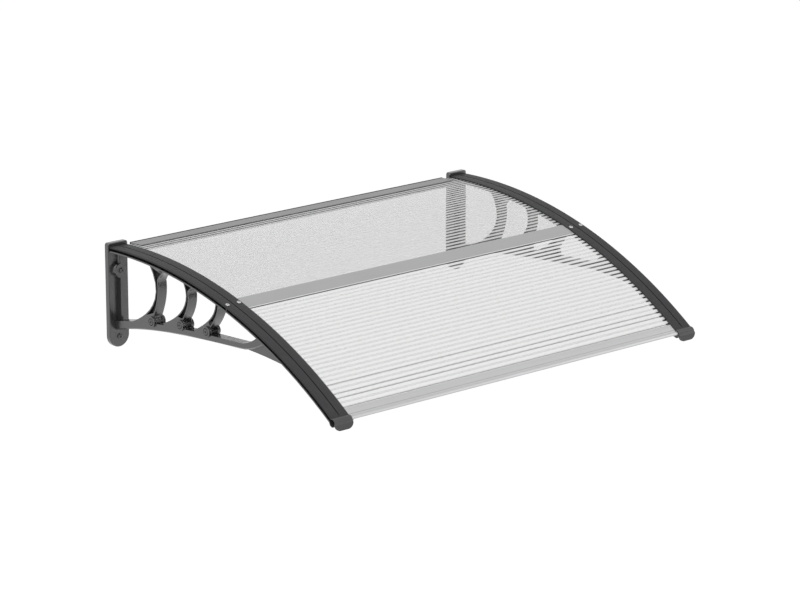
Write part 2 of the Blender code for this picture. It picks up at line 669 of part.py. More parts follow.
def build():
    """Build every piece of the canopy."""
    for item in list(bpy.data.objects):
        bpy.data.objects.remove(item, do_unlink=True)

    black = material("black_moulding", (0.012, 0.012, 0.013), 0.32, 0.0)
    black_cover = material("black_cover", (0.015, 0.015, 0.016), 0.36, 0.0)
    black_cap = material("black_cap", (0.014, 0.014, 0.015), 0.34, 0.0)
    clear = material("clear_sheet", (0.93, 0.95, 0.96), 0.06, 0.0, 0.4, 0.9)
    alloy = material("bar_aluminium", (0.62, 0.63, 0.64), 0.36, 1.0)
    steel = material("screw_steel", (0.55, 0.55, 0.56), 0.3, 1.0)
    black_screw = material("black_screw", (0.02, 0.02, 0.021), 0.34, 0.0)
    rubber = material("seal_rubber", (0.03, 0.03, 0.03), 0.8, 0.0)

    sides = (("left", -1), ("right", 1))
    bracket = make_bracket()
    cover = make_cover()
    finish(bracket, "bracket_left", black)
    finish(cover, "cover_strip_left", black_cover)
    pieces = {"left": (bracket, cover)}
    pieces["right"] = (copy_of(bracket, "bracket_right"), copy_of(cover, "cover_strip_right"))
    for label, side in sides:
        for item in pieces[label]:
            item.location = (side * ARM_X, 0, 0)
        cap = make_cap(side)
        cap.location = (side * ARM_X, 0, 0)
        finish(cap, "end_cap_" + label, black_cap)

    core_rear = MIDDLE_AT - MIDDLE_CORE / 2 - JOINT_GAP
    core_front = MIDDLE_AT + MIDDLE_CORE / 2 + JOINT_GAP
    rear_start = along_at(-PLATE_THICK - SHEET_SIDE_GAP)
    finish(make_sheet("rear_sheet", rear_start, core_rear), "rear_sheet", clear)
    front_end = ARM_LENGTH - FRONT_WALL - SHEET_SIDE_GAP
    finish(make_sheet("front_sheet", core_front, front_end), "front_sheet", clear)
    finish(make_middle_bar(), "middle_bar", alloy)
    finish(make_front_bar(), "front_bar", alloy)
    finish(make_rear_bar(), "rear_bar", alloy)
    finish(make_seal(), "wall_seal", rubber)

    boss_front = -PLATE_THICK - RIB_PROUD - GAP
    upper = screw("wall_screw_left_upper", WALL_SHANK_D, WALL_HEAD_D, WALL_HEAD_H,
                  WALL_SCREW_REACH - boss_front + GAP)
    lower = screw("wall_screw_left_lower", WALL_SHANK_D, WALL_HEAD_D, WALL_HEAD_H,
                  WALL_SCREW_REACH + PLATE_THICK + GAP)
    finish(upper, "wall_screw_left_upper", black_screw, 40)
    finish(lower, "wall_screw_left_lower", black_screw, 40)
    wall_screws = {"left": (upper, lower)}
    high = copy_of(upper, "wall_screw_right_upper")
    low = copy_of(lower, "wall_screw_right_lower")
    wall_screws["right"] = (high, low)
    for label, side in sides:
        high, low = wall_screws[label]
        place_screw(high, (side * ARM_X, boss_front - GAP, BOSS_Z), (0, -1, 0))
        place_screw(low, (side * ARM_X, -PLATE_THICK - GAP, LOW_SCREW_Z), (0, -1, 0))

    ring_floor = STRUT_WIDTH / 2 + RING_PROUD - RING_RECESS_DEPTH
    first = screw("strut_screw_left_1", STRUT_SHANK_D, STRUT_HEAD_D, STRUT_HEAD_H, 2 * ring_floor)
    finish(first, "strut_screw_left_1", black_screw, 40)
    for label, side in sides:
        for i, (y, z) in enumerate(ring_places()):
            name = "strut_screw_" + label + "_" + str(i + 1)
            item = first if name == first.name else copy_of(first, name)
            place_screw(item, (side * (ARM_X + ring_floor + GAP), y, z), (side, 0, 0))

    shape = screw("cover_screw_left_outer", COVER_SHANK_D, COVER_HEAD_D, COVER_HEAD_H, ARM_DEPTH + GAP)
    finish(shape, "cover_screw_left_outer", steel, 40)
    angle = MIDDLE_AT / ARC_RADIUS
    normal = (0, -math.sin(angle), math.cos(angle))
    seat = on_arc(MIDDLE_AT, -GAP)
    for label, side in sides:
        for place, offset in (("outer", COVER_SCREW_SIDE), ("inner", -COVER_SCREW_SIDE)):
            name = "cover_screw_" + label + "_" + place
            item = shape if name == shape.name else copy_of(shape, name)
            place_screw(item, (side * (ARM_X + offset), *seat), normal)


build()
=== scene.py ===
"""Arched door canopy: looks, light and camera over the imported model.

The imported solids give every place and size. Brackets and end caps are shown by
smooth copies of their solids. Cover strips, bars and screws are new surfaces
from numpy grids. The two sheets and the wall seal keep their own solids.
"""
import math

import bmesh
import bpy
import numpy as np
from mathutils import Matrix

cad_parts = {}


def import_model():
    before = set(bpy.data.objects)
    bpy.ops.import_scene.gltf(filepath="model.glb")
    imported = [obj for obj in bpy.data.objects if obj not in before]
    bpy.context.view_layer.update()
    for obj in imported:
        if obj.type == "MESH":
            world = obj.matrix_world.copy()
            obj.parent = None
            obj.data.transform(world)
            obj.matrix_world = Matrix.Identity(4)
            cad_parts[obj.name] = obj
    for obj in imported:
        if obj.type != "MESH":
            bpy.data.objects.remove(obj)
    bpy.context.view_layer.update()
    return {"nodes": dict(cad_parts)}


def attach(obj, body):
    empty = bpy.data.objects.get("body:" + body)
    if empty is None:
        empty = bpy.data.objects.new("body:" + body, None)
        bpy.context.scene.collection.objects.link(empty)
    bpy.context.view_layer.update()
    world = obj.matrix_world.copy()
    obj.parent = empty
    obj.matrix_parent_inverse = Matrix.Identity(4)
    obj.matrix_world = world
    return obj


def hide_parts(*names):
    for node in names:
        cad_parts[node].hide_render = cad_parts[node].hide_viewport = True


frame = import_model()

MM = 0.001

# The arch that every long piece follows
ARC_RADIUS = 1148.6 * MM
CROWN_OUT = 64.9 * MM
ARM_DEPTH = 11.2 * MM
ARM_LENGTH = 700.7 * MM
CROWN_RISE = math.sqrt((ARC_RADIUS - ARM_DEPTH / 2) ** 2 - CROWN_OUT ** 2)
ARM_WIDTH = 45.5 * MM
ARM_X = 477.25 * MM
COVER_THICK = 2.8 * MM
MIDDLE_AT = 332.6 * MM
NOSE_ALONG = ARM_LENGTH + 7.3 * MM
NOSE_DEPTH = 5.8 * MM
NOSE_R = 6.0 * MM

SIDES = (("left", -1), ("right", 1))

# Cover strip
COVER_EDGE_R = 1.3 * MM
COVER_BACK = 11.6 * MM          # the strip's rear end lies this far from the wall
COVER_GROOVE_TOP = 0.95 * MM    # half width of the groove at the surface
COVER_GROOVE_FOOT = 0.85 * MM
COVER_GROOVE_DEPTH = 1.9 * MM
COVER_GROOVE_END = 6.0 * MM     # flat part at each end of the strip
COVER_STEPS = 121
ROW_PITCH = 1.9 * MM            # fine lengthwise lines

# Bars: depths of the two flanges' faces, and the ends of the bars
TOP_OUT = 1.75 * MM
TOP_IN = 2.95 * MM
LOW_IN = 8.05 * MM
LOW_OUT = 9.25 * MM
BAR_HALF = 454.1 * MM
REAR_BAR_HALF = 438.0 * MM
REAR_BAR_BACK = 4.0 * MM
REAR_BAR_WALL = 2.4 * MM
REAR_BAR_TOP = 34.0 * MM
REAR_BAR_UNDER = 54.0 * MM
MIDDLE_REAR = 18.6 * MM
MIDDLE_FRONT = 18.4 * MM
MIDDLE_BEVEL = 10.0 * MM
MIDDLE_CORE_HALF = 5.5 * MM
FRONT_LIP = 17.7 * MM
FRONT_WALL = 2.8 * MM
FRONT_GROOVE = 1.2 * MM
FRONT_GROOVE_DEPTH = 0.8 * MM

# Screws: head radius, head height, shank radius, shank length. Seats are Y and Z.
WALL_HEAD = (5.9 * MM, 3.2 * MM, 2.4 * MM)
WALL_LONG = 45.6 * MM
WALL_SHORT = 35.0 * MM
STRUT_SIZE = (7.0 * MM, 3.4 * MM, 2.2 * MM, 24.9 * MM)
COVER_SIZE = (4.5 * MM, 1.8 * MM, 2.0 * MM, 11.4 * MM)
UPPER_SEAT = (-22.2 * MM, -45.9 * MM)
LOWER_SEAT = (-11.5 * MM, -190.2 * MM)
# Strut screws' seats in millimetres
STRUT_SEATS = ((-139.2, -129.7), (-234.9, -116.6), (-321.5, -111.6))
STRUT_SIDE = 12.8 * MM
COVER_SIDE = 14.5               # millimetres to each side of the arm's centre line
SCREW_SIDES = 48


def on_arc(along, depth):
    """Y and Z of points at a distance along the top arc and a depth below it."""
    angle = np.asarray(along) / ARC_RADIUS
    radius = ARC_RADIUS - np.asarray(depth)
    return -CROWN_OUT - radius * np.sin(angle), radius * np.cos(angle) - CROWN_RISE


def along_at(y):
    """Distance along the top arc of the point at this y."""
    return ARC_RADIUS * math.asin((-y - CROWN_OUT) / ARC_RADIUS)


def surface(name, grid, sharp=35.0):
    """Closed mesh from a grid of rings, each ring closed on itself, with flat ends.

    grid has the shape (rings, points, 3). Quads join point i of a ring to point
    i + 1 and to the same two points of the next ring.
    """
    rings, count = grid.shape[:2]
    i = np.arange(count)
    j = (i + 1) % count
    r = np.arange(rings - 1)[:, None] * count
    quads = np.stack([r + i, r + j, r + count + j, r + count + i], axis=-1).reshape(-1, 4)
    faces = quads.tolist() + [list(range(count)), list(range((rings - 1) * count, rings * count))]
    mesh = bpy.data.meshes.new(name)
    mesh.from_pydata(grid.reshape(-1, 3).tolist(), [], faces)
    work = bmesh.new()
    work.from_mesh(mesh)
    bmesh.ops.remove_doubles(work, verts=work.verts, dist=1e-7)
    bmesh.ops.recalc_face_normals(work, faces=work.faces)
    if work.calc_volume(signed=True) < 0:
        bmesh.ops.reverse_faces(work, faces=work.faces)
    work.to_mesh(mesh)
    work.free()
    mesh.shade_smooth()
    mesh.set_sharp_from_angle(angle=math.radians(sharp))
    item = bpy.data.objects.new(name, mesh)
    bpy.context.scene.collection.objects.link(item)
    return item


def show(item, node, look):
    """Let a piece stand for its solid, ride on the canopy and take its finish."""
    item.data.materials.clear()
    item.data.materials.append(look)
    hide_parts(node)
    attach(item, "root")


# Shader groups


def new_group(name, inputs, outputs):
    """Empty shader group with named sockets: (label, kind, start value)."""
    tree = bpy.data.node_groups.new(name, "ShaderNodeTree")
    for label, kind, value in inputs:
        socket = tree.interface.new_socket(name=label, in_out="INPUT", socket_type=kind)
        if value is not None:
            socket.default_value = value
    for label, kind in outputs:
        tree.interface.new_socket(name=label, in_out="OUTPUT", socket_type=kind)
    return tree, tree.nodes.new("NodeGroupInput"), tree.nodes.new("NodeGroupOutput")


def noise(tree, vector, scale, detail=4.0, rough=0.55):
    """Noise texture fed by a vector."""
    node = tree.nodes.new("ShaderNodeTexNoise")
    node.inputs["Detail"].default_value = detail
    node.inputs["Roughness"].default_value = rough
    tree.links.new(vector, node.inputs["Vector"])
    node.inputs["Scale"].default_value = scale
    return node.outputs["Fac"]


def maths(tree, operation, a, b=None, c=None):
    """Math node on numbers or sockets."""
    node = tree.nodes.new("ShaderNodeMath")
    node.operation = operation
    for socket, value in zip(node.inputs, (a, b, c)):
        if value is None:
            continue
        if isinstance(value, (int, float)):
            socket.default_value = value
        else:
            tree.links.new(value, socket)
    return node.outputs[0]


def blend_colours(tree, factor, a, b):
    """Mix two colours or colour sockets by a factor socket."""
    node = tree.nodes.new("ShaderNodeMix")
    node.data_type = "RGBA"
    tree.links.new(factor, node.inputs[0])
    for socket, value in ((node.inputs[6], a), (node.inputs[7], b)):
        if isinstance(value, tuple):
            socket.default_value = value
        else:
            tree.links.new(value, socket)
    return node.outputs[2]


FINISH_OUTPUTS = [("Color", "NodeSocketColor"), ("Roughness", "NodeSocketFloat"),
                  ("Height", "NodeSocketFloat")]


def moulded_surface_group():
    """Moulded plastic: fine spark grain, slow gloss changes, dust in soft patches, hair scuffs."""
    inputs = [("Vector", "NodeSocketVector", None),
              ("Base", "NodeSocketColor", (0.01, 0.01, 0.01, 1)),
              ("Dust", "NodeSocketColor", (0.05, 0.05, 0.05, 1)),
              ("Gloss", "NodeSocketFloat", 0.25)]
    tree, start, end = new_group("moulded_surface", inputs, FINISH_OUTPUTS)
    place = start.outputs["Vector"]
    grain = noise(tree, place, 2600.0, 3.0)
    slow = noise(tree, place, 14.0, 5.0)
    patch = noise(tree, place, 46.0, 6.0, 0.65)
    stretch = tree.nodes.new("ShaderNodeMapping")
    stretch.inputs["Scale"].default_value = (900.0, 40.0, 60.0)
    tree.links.new(place, stretch.inputs["Vector"])
    scuff = noise(tree, stretch.outputs[0], 1.0, 2.0)
    scuffed = maths(tree, "MAXIMUM", maths(tree, "SUBTRACT", scuff, 0.62), 0.0)
    scuffed = maths(tree, "SMOOTH_MIN", scuffed, 0.2, 0.05)
    dusty = maths(tree, "MAXIMUM", maths(tree, "SUBTRACT", patch, 0.5), 0.0)
    dusty = maths(tree, "MULTIPLY", dusty, 1.4)
    colour = blend_colours(tree, dusty, start.outputs["Base"], start.outputs["Dust"])
    tree.links.new(colour, end.inputs["Color"])
    gloss = maths(tree, "MULTIPLY_ADD", slow, 0.12, start.outputs["Gloss"])
    gloss = maths(tree, "ADD", gloss, maths(tree, "MULTIPLY", dusty, 0.12))
    tree.links.new(maths(tree, "ADD", gloss, scuffed), end.inputs["Roughness"])
    height = maths(tree, "MULTIPLY_ADD", grain, 0.7, maths(tree, "MULTIPLY", slow, 0.8))
    height = maths(tree, "SUBTRACT", height, maths(tree, "MULTIPLY", scuffed, 0.6))
    tree.links.new(height, end.inputs["Height"])
    return tree


def drawn_lines_group():
    """Lines drawn along X by an extrusion die or a brush: noise stretched along X."""
    inputs = [("Vector", "NodeSocketVector", None),
              ("Base", "NodeSocketColor", (0.6, 0.6, 0.6, 1)),
              ("Deep", "NodeSocketColor", (0.45, 0.45, 0.45, 1)),
              ("Gloss", "NodeSocketFloat", 0.3)]
    tree, start, end = new_group("drawn_lines", inputs, FINISH_OUTPUTS)
    stretch = tree.nodes.new("ShaderNodeMapping")
    stretch.inputs["Scale"].default_value = (6.0, 1400.0, 1400.0)
    tree.links.new(start.outputs["Vector"], stretch.inputs["Vector"])
    lines = noise(tree, stretch.outputs[0], 1.0, 3.0)
    spots = noise(tree, start.outputs["Vector"], 900.0, 2.0)
    cloud = noise(tree, start.outputs["Vector"], 9.0, 4.0)
    mask = maths(tree, "MULTIPLY", lines, maths(tree, "MULTIPLY_ADD", cloud, 0.6, 0.2))
    colour = blend_colours(tree, mask, start.outputs["Base"], start.outputs["Deep"])
    tree.links.new(colour, end.inputs["Color"])
    gloss = maths(tree, "MULTIPLY_ADD", lines, 0.16, start.outputs["Gloss"])
    tree.links.new(maths(tree, "MULTIPLY_ADD", cloud, 0.08, gloss), end.inputs["Roughness"])
    tree.links.new(maths(tree, "MULTIPLY_ADD", spots, 0.25, lines), end.inputs["Height"])
    return tree


def arc_place_group():
    """Place on the arch.

    Along is the angle of the point round the arch's centre, times its radius.
    Depth is the radius less the point's distance from that centre.
    """
    outputs = [("Along", "NodeSocketFloat"), ("Depth", "NodeSocketFloat")]
    tree, start, end = new_group("arc_place", [("Vector", "NodeSocketVector", None)], outputs)
    parts = tree.nodes.new("ShaderNodeSeparateXYZ")
    tree.links.new(start.outputs["Vector"], parts.inputs[0])
    out = maths(tree, "MULTIPLY", maths(tree, "ADD", parts.outputs["Y"], CROWN_OUT), -1.0)
    up = maths(tree, "ADD", parts.outputs["Z"], CROWN_RISE)
    angle = maths(tree, "ARCTAN2", out, up)
    tree.links.new(maths(tree, "MULTIPLY", angle, ARC_RADIUS), end.inputs["Along"])
    far = maths(tree, "SQRT", maths(tree, "MULTIPLY_ADD", out, out, maths(tree, "MULTIPLY", up, up)))
    tree.links.new(maths(tree, "SUBTRACT", ARC_RADIUS, far), end.inputs["Depth"])
    return tree


MOULDED = moulded_surface_group()
DRAWN = drawn_lines_group()
ARC_PLACE = arc_place_group()


def start_material(name):
    """New material: its tree, its Principled shader and an Object coordinate socket."""
    made = bpy.data.materials.new(name)
    made.use_nodes = True
    tree = made.node_tree
    shader = tree.nodes["Principled BSDF"]
    place = tree.nodes.new("ShaderNodeTexCoord").outputs["Object"]
    return made, tree, shader, place


def use_group(tree, group, place, **values):
    """Place a shader group in a material and set its inputs."""
    node = tree.nodes.new("ShaderNodeGroup")
    node.node_tree = group
    tree.links.new(place, node.inputs["Vector"])
    for label, value in values.items():
        node.inputs[label].default_value = value
    return node


def feed(tree, shader, node, height, depth, strength):
    """Wire a group's colour, roughness and height to the shader."""
    tree.links.new(node.outputs["Color"], shader.inputs["Base Color"])
    tree.links.new(node.outputs["Roughness"], shader.inputs["Roughness"])
    bump = tree.nodes.new("ShaderNodeBump")
    bump.inputs["Distance"].default_value = depth
    bump.inputs["Strength"].default_value = strength
    tree.links.new(height, bump.inputs["Height"])
    tree.links.new(bump.outputs[0], shader.inputs["Normal"])


def black_moulding(name, base, dust, gloss, specular, coat, rows=0.0):
    """Gloss black moulded plastic.

    rows gives the height of fine lengthwise lines against that of the grain. A
    piece with such lines also has painted shade: its groove along the middle of
    the arm is painted near black.
    """
    made, tree, shader, place = start_material(name)
    node = use_group(tree, MOULDED, place, Base=(base, base, base * 1.05, 1),
                     Dust=(dust, dust, dust, 1), Gloss=gloss)
    height = node.outputs["Height"]
    if rows:
        parts = tree.nodes.new("ShaderNodeSeparateXYZ")
        tree.links.new(place, parts.inputs[0])
        turn = maths(tree, "MULTIPLY", parts.outputs["X"], 2 * math.pi / ROW_PITCH)
        wave = maths(tree, "SINE", turn)
        height = maths(tree, "MULTIPLY_ADD", wave, rows, height)
    feed(tree, shader, node, height, 0.00012, 0.5)
    if rows:
        # Painted shade: near the arm's middle line, where the surface lies deeper than 0.15 mm below
        # the arch (in the groove), the colour is painted near black
        near = maths(tree, "COMPARE", maths(tree, "ABSOLUTE", parts.outputs["X"]), ARM_X, 1.2 * MM)
        depth = use_group(tree, ARC_PLACE, place).outputs["Depth"]
        groove_painted_shade = maths(tree, "MULTIPLY", near, maths(tree, "GREATER_THAN", depth, 0.15 * MM))
        shaded = blend_colours(tree, groove_painted_shade, node.outputs["Color"], (0.001, 0.001, 0.001, 1))
        tree.links.new(shaded, shader.inputs["Base Color"])
    shader.inputs["IOR"].default_value = 1.5
    shader.inputs["Specular IOR Level"].default_value = specular
    shader.inputs["Coat Weight"].default_value = coat
    shader.inputs["Coat Roughness"].default_value = 0.22
    return made


def drawn_aluminium(name, base, deep, gloss):
    """Satin anodised aluminium with die lines along the bar."""
    made, tree, shader, place = start_material(name)
    node = use_group(tree, DRAWN, place, Base=(base, base, base * 1.01, 1),
                     Deep=(deep, deep, deep, 1), Gloss=gloss)
    feed(tree, shader, node, node.outputs["Height"], 0.00004, 0.5)
    shader.inputs["Metallic"].default_value = 0.85
    return made


def plated_steel():
    """Bright zinc plated steel for the screws, a little mottled."""
    made, tree, shader, place = start_material("plated_steel")
    node = use_group(tree, MOULDED, place, Base=(0.52, 0.52, 0.53, 1),
                     Dust=(0.3, 0.3, 0.3, 1), Gloss=0.2)
    feed(tree, shader, node, node.outputs["Height"], 0.00006, 0.4)
    shader.inputs["Metallic"].default_value = 1.0
    return made


def seal_rubber():
    """Matt black rubber of the wall seal."""
    made, tree, shader, place = start_material("seal_rubber_look")
    node = use_group(tree, MOULDED, place, Base=(0.02, 0.02, 0.02, 1),
                     Dust=(0.08, 0.08, 0.08, 1), Gloss=0.68)
    feed(tree, shader, node, node.outputs["Height"], 0.0002, 0.6)
    return made


def soft_step(tree, value, low, high):
    """Smooth step of a value from 0 at low to 1 at high."""
    node = tree.nodes.new("ShaderNodeMapRange")
    node.interpolation_type = "SMOOTHSTEP"
    node.inputs["From Min"].default_value = low
    node.inputs["From Max"].default_value = high
    tree.links.new(value, node.inputs["Value"])
    return node.outputs[0]


DIE_LINE_HALF = 0.65 * MM
WINDOW_OPAQUE = 0.34            # opacity of a flute's clear window
OTHER_OPAQUE = 0.02             # opacity of every face but the upper one


def clear_fluted(name, start, end, cells, window, milk, band_tint_and_painted_shade, lines):
    """Clear fluted polycarbonate: each flute has a clear window and a milky band.

    The place in a flute is the distance along the arch from the sheet's first
    rib, divided by the flutes' pitch, without its whole part. Its distance from
    the flute's middle, through a soft step, is the milky band. The upper face
    of the sheet carries the bands, and all its other faces are nearly
    see-through. Die lines lie at set places along the arch.
    """
    made, tree, shader, place = start_material(name)
    node = use_group(tree, ARC_PLACE, place)
    along = node.outputs["Along"]
    upper = maths(tree, "LESS_THAN", node.outputs["Depth"], 3.6 * MM)
    pitch = (end - start) / cells
    flutes = maths(tree, "MULTIPLY_ADD", along, 1.0 / (pitch * MM), -start / pitch)
    flute = maths(tree, "FRACT", flutes)
    away = maths(tree, "ABSOLUTE", maths(tree, "SUBTRACT", flute, 0.5))
    band = soft_step(tree, away, window / 2 - 0.03, window / 2 + 0.05)
    smear = noise(tree, place, 7.0, 5.0)
    stretch = tree.nodes.new("ShaderNodeMapping")
    stretch.inputs["Scale"].default_value = (5.0, 900.0, 900.0)
    tree.links.new(place, stretch.inputs["Vector"])
    drawn = noise(tree, stretch.outputs[0], 1.0, 2.0)
    marks = [maths(tree, "COMPARE", along, line * MM, DIE_LINE_HALF) for line in lines]
    for mark in marks[1:]:
        marks[0] = maths(tree, "MAXIMUM", marks[0], mark)
    milky = maths(tree, "MULTIPLY_ADD", smear, 0.06, milk)
    more = maths(tree, "SUBTRACT", milky, WINDOW_OPAQUE)
    opaque = maths(tree, "MULTIPLY_ADD", band, more, WINDOW_OPAQUE)
    if marks:
        opaque = maths(tree, "MAXIMUM", opaque, maths(tree, "MULTIPLY", marks[0], 0.9))
    more = maths(tree, "SUBTRACT", opaque, OTHER_OPAQUE)
    see = maths(tree, "MULTIPLY_ADD", upper, more, OTHER_OPAQUE)
    tree.links.new(see, shader.inputs["Alpha"])
    # The band's tone also carries painted shade: a lower value makes the whole sheet darker
    tone = blend_colours(tree, band, (0.05, 0.05, 0.05, 1), (band_tint_and_painted_shade, band_tint_and_painted_shade, band_tint_and_painted_shade, 1))
    shade = maths(tree, "MULTIPLY", drawn, 0.12)
    tone = blend_colours(tree, shade, tone, (0.3, 0.3, 0.3, 1))
    if marks:
        tone = blend_colours(tree, marks[0], tone, (0.05, 0.05, 0.05, 1))
    tree.links.new(tone, shader.inputs["Base Color"])
    tree.links.new(maths(tree, "MULTIPLY_ADD", band, 0.3, 0.08), shader.inputs["Roughness"])
    bump = tree.nodes.new("ShaderNodeBump")
    bump.inputs["Distance"].default_value = 0.00008
    bump.inputs["Strength"].default_value = 0.3
    tree.links.new(smear, bump.inputs["Height"])
    tree.links.new(bump.outputs[0], shader.inputs["Normal"])
    shader.inputs["IOR"].default_value = 1.58
    shader.inputs["Specular IOR Level"].default_value = 0.4
    return made


LOOK_BRACKET = black_moulding("bracket_look", 0.012, 0.035, 0.24, 0.9, 0.6)
# rows also paints shade into the cover's middle groove, near black
LOOK_COVER = black_moulding("cover_look", 0.035, 0.06, 0.5, 0.2, 0.0, rows=1.2)
LOOK_CAP = black_moulding("cap_look", 0.04, 0.07, 0.36, 0.5, 0.0)
LOOK_SCREW = black_moulding("black_screw_look", 0.04, 0.08, 0.3, 0.7, 0.2)
# The three bars are one anodised aluminium. Their base tones are lit and shaded copies of it: the
# front bar is painted lighter (0.56) and the rear bar is painted darker (0.3), in painted light and
# painted shade, against 0.44 for the middle bar
LOOK_BAR = drawn_aluminium("bar_look", 0.44, 0.34, 0.36)
LOOK_FRONT_BAR_PAINTED_LIGHT = drawn_aluminium("front_bar_painted_light_look", 0.56, 0.44, 0.34)
LOOK_REAR_BAR_PAINTED_SHADE = drawn_aluminium("rear_bar_painted_shade_look", 0.3, 0.24, 0.4)
LOOK_STEEL = plated_steel()
LOOK_RUBBER = seal_rubber()
# Both sheets are one clear polycarbonate. The rear sheet's darker band tone (0.62 against 0.8) and
# its lower milk level (0.84 against 0.9) are painted shade
LOOK_REAR_SHEET_PAINTED_SHADE = clear_fluted("rear_sheet_painted_shade_look", -53.3, 326.7, 32, 0.4, 0.84, 0.62, [])
LOOK_FRONT_SHEET = clear_fluted("front_sheet_look", 338.5, 697.6, 30, 0.36, 0.9, 0.8,
                                [619, 644, 656, 680])


# Pieces


COPY_MERGE = 2e-6
COPY_FLAT = math.radians(0.8)
COPY_SHARP = math.radians(28.0)


def smooth_copy(node, look):
    """The solid's own surface with its corners merged and its flat faces made whole again.

    A corner's normal is the mean of its faces' normals weighted by their areas,
    so large flat faces stay flat where they meet narrow round ones.
    """
    name = node + "_surface"
    mesh = frame["nodes"][node].data.copy()
    mesh.name = name
    work = bmesh.new()
    work.from_mesh(mesh)
    bmesh.ops.remove_doubles(work, verts=work.verts, dist=COPY_MERGE)
    bmesh.ops.dissolve_limit(work, angle_limit=COPY_FLAT, verts=work.verts, edges=work.edges)
    work.to_mesh(mesh)
    work.free()
    mesh.shade_smooth()
    mesh.set_sharp_from_angle(angle=COPY_SHARP)
    item = bpy.data.objects.new(name, mesh)
    bpy.context.scene.collection.objects.link(item)
    weigh = item.modifiers.new("area_normals", "WEIGHTED_NORMAL")
    weigh.keep_sharp = True
    show(item, node, look)


def cover_strip(label, side):
    """Cover strip: a flat section with quarter round upper edges, carried along the arch.

    The depth of the upper side is the quarter round near each edge plus a
    groove in the middle, which fades in and out near the strip's ends.
    """
    half = ARM_WIDTH / 2
    edge = COVER_EDGE_R
    turn = np.linspace(0.0, np.pi / 2, 7)
    right = np.stack([half - edge + edge * np.cos(turn), edge - edge * np.sin(turn)], axis=1)
    bank = np.array([2.2 * MM, COVER_GROOVE_TOP, COVER_GROOVE_FOOT])
    middle = np.concatenate([bank, -bank[::-1]])
    across = np.concatenate([right[:, 0], middle, -right[::-1, 0], [-half, half]])
    under = [COVER_THICK, COVER_THICK]
    depth = np.concatenate([right[:, 1], np.zeros(6), right[::-1, 1], under])
    cut = np.zeros(len(across))
    cut[9:11] = COVER_GROOVE_DEPTH
    cut[[8, 11]] = 0.08 * MM
    start = along_at(-COVER_BACK)
    steps = np.linspace(0.0, 1.0, COVER_STEPS)
    along = start + (ARM_LENGTH - start) * steps
    from_end = np.minimum(along - start, ARM_LENGTH - along)
    gate = np.clip((from_end - COVER_GROOVE_END) / (1.5 * MM), 0.0, 1.0)
    depths = depth[None, :] + gate[:, None] * cut[None, :]
    y, z = on_arc(along[:, None], depths)
    x = np.broadcast_to(side * ARM_X + across[None, :], y.shape)
    item = surface("cover_strip_%s_surface" % label, np.stack([x, y, z], axis=-1))
    show(item, "cover_strip_" + label, LOOK_COVER)


def bar(name, node, profile, half, look):
    """Bar: a closed (along, depth) profile carried along X between two flat ends."""
    profile = np.array(profile)
    y, z = on_arc(profile[:, 0], profile[:, 1])
    ends = []
    for x in (-half, half):
        ends.append(np.stack([np.full(len(profile), x), y, z], axis=1))
    item = surface(name, np.stack(ends))
    show(item, node, look)


def round_run(centre, radius, start, end, count):
    """Points (along, depth) on a circle, at angles from ahead (0) to the underside (90)."""
    angle = np.radians(np.linspace(start, end, count))
    along = centre[0] + radius * np.cos(angle)
    depth = centre[1] + radius * np.sin(angle)
    return np.stack([along, depth], axis=1).tolist()


def front_bar():
    """Front bar: lips round the sheet's edge, a fine groove, and a round, higher nose."""
    lip = ARM_LENGTH - FRONT_LIP
    wall = ARM_LENGTH - FRONT_WALL
    groove = ARM_LENGTH - FRONT_GROOVE
    floor_depth = TOP_OUT + FRONT_GROOVE_DEPTH
    rise = math.degrees(math.asin((NOSE_DEPTH - TOP_OUT) / NOSE_R))
    fall = math.degrees(math.asin((LOW_OUT - NOSE_DEPTH) / NOSE_R))
    profile = [(lip, TOP_IN), (lip, TOP_OUT + 0.4 * MM), (lip + 0.15 * MM, TOP_OUT + 0.12 * MM),
               (lip + 0.45 * MM, TOP_OUT), (groove - 0.5 * MM, TOP_OUT),
               (groove - 0.2 * MM, floor_depth), (groove + 0.2 * MM, floor_depth),
               (groove + 0.5 * MM, TOP_OUT)]
    profile += round_run((NOSE_ALONG, NOSE_DEPTH), NOSE_R, 180 + rise, 360 - fall, 33)
    profile += [(lip + 0.5 * MM, LOW_OUT), (lip, LOW_OUT - 0.5 * MM), (lip, LOW_IN),
                (wall, LOW_IN), (wall, TOP_IN)]
    bar("front_bar_surface", "front_bar", profile, BAR_HALF, LOOK_FRONT_BAR_PAINTED_LIGHT)


def middle_bar():
    """Middle bar: an H section with a bevelled front edge."""
    rear = MIDDLE_AT - MIDDLE_REAR
    front = MIDDLE_AT + MIDDLE_FRONT
    bevel = front - MIDDLE_BEVEL
    core = MIDDLE_CORE_HALF
    profile = [(rear, TOP_IN), (rear, TOP_OUT + 0.3 * MM), (rear + 0.3 * MM, TOP_OUT),
               (MIDDLE_AT - 8 * MM, TOP_OUT), (MIDDLE_AT, TOP_OUT), (bevel, TOP_OUT),
               (front - 0.2 * MM, TOP_IN - 0.4 * MM), (front, TOP_IN),
               (MIDDLE_AT + core, TOP_IN), (MIDDLE_AT + core, LOW_IN), (front, LOW_IN),
               (bevel, LOW_OUT), (MIDDLE_AT, LOW_OUT), (rear, LOW_OUT), (rear, LOW_IN),
               (MIDDLE_AT - core, LOW_IN), (MIDDLE_AT - core, TOP_IN)]
    bar("middle_bar_surface", "middle_bar", profile, BAR_HALF, LOOK_BAR)


